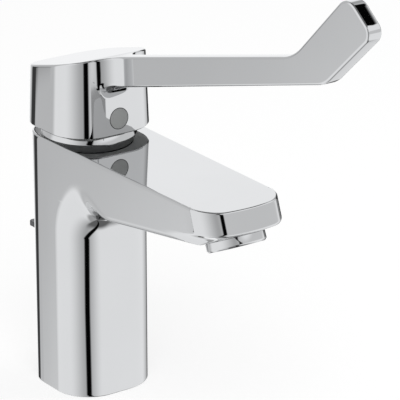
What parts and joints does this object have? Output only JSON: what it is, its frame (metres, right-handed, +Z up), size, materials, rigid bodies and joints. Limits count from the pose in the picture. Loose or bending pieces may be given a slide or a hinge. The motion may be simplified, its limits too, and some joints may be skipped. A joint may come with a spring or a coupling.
{
  "type": "basin mixer tap",
  "caption": "Single lever basin mixer with a long care lever that ends in a paddle, a tapering flat topped spout, a tilted aerator and a pull tab at the back.",
  "frame": {"origin": "centre of the column's base, on the top of the deck that the tap stands on", "axes": "+Z up, -Y towards the user along the spout and the lever, +X to the right of someone who faces the tap"},
  "size_m": [0.0454, 0.2256, 0.2687],
  "materials": {
    "chrome_casting": "polished",
    "chrome_handle": "polished",
    "chrome_trim": "polished",
    "indicator_grey": "flat, satin",
    "cartridge_plastic": "matte",
    "ceramic_disc": "lapped",
    "seal_rubber": "matte",
    "bare_brass": "machined",
    "steel": "zinc plated",
    "aerator_plastic": "matte",
    "bush_plastic": "matte"
  },
  "bodies": {
    "root": {"tap_body": "chrome_casting", "cartridge_base": "cartridge_plastic", "port_seal_hot": "seal_rubber", "port_seal_cold": "seal_rubber", "fixed_disc": "ceramic_disc", "cartridge_housing": "cartridge_plastic", "housing_seal": "seal_rubber", "cartridge_nut": "bare_brass", "collar_ring": "chrome_trim", "aerator_collar": "chrome_trim", "aerator_screen": "aerator_plastic", "aerator_insert": "aerator_plastic", "aerator_seal": "seal_rubber", "rod_bush": "bush_plastic", "base_gasket": "seal_rubber", "fixing_stud": "steel", "rubber_washer": "seal_rubber", "horseshoe_plate": "steel", "fixing_nut": "steel"},
    "turn": {"turning_sleeve": "cartridge_plastic", "pivot_pin": "steel"},
    "lift": {"stem": "bare_brass", "handle": "chrome_handle", "indicator_dot": "indicator_grey", "set_screw": "steel"},
    "disc": {"moving_disc": "ceramic_disc", "disc_carrier": "cartridge_plastic"},
    "pull": {"pull_rod": "chrome_trim", "pull_tab": "chrome_trim"}
  },
  "joints": [
    {"name": "handle_turn", "type": "hinge", "parent": "root", "child": "turn", "pos_m": [0, 0, 0.106], "axis": [0, 0, 1], "range_deg": [-45, 45]},
    {"name": "handle_lift", "type": "hinge", "parent": "turn", "child": "lift", "pos_m": [0, 0, 0.106], "axis": [-1, 0, 0], "range_deg": [0, 13]},
    {"name": "disc_slide", "type": "slide", "parent": "turn", "child": "disc", "axis": [0, -1, 0], "range_m": [0, 0.0026]},
    {"name": "pull_lift", "type": "slide", "parent": "root", "child": "pull", "axis": [0, 0, 1], "range_m": [0, 0.01]}
  ],
  "couplings": [
    {"joint": "disc_slide", "follows": "handle_lift", "m_per_rad": 0.0114}
  ]
}
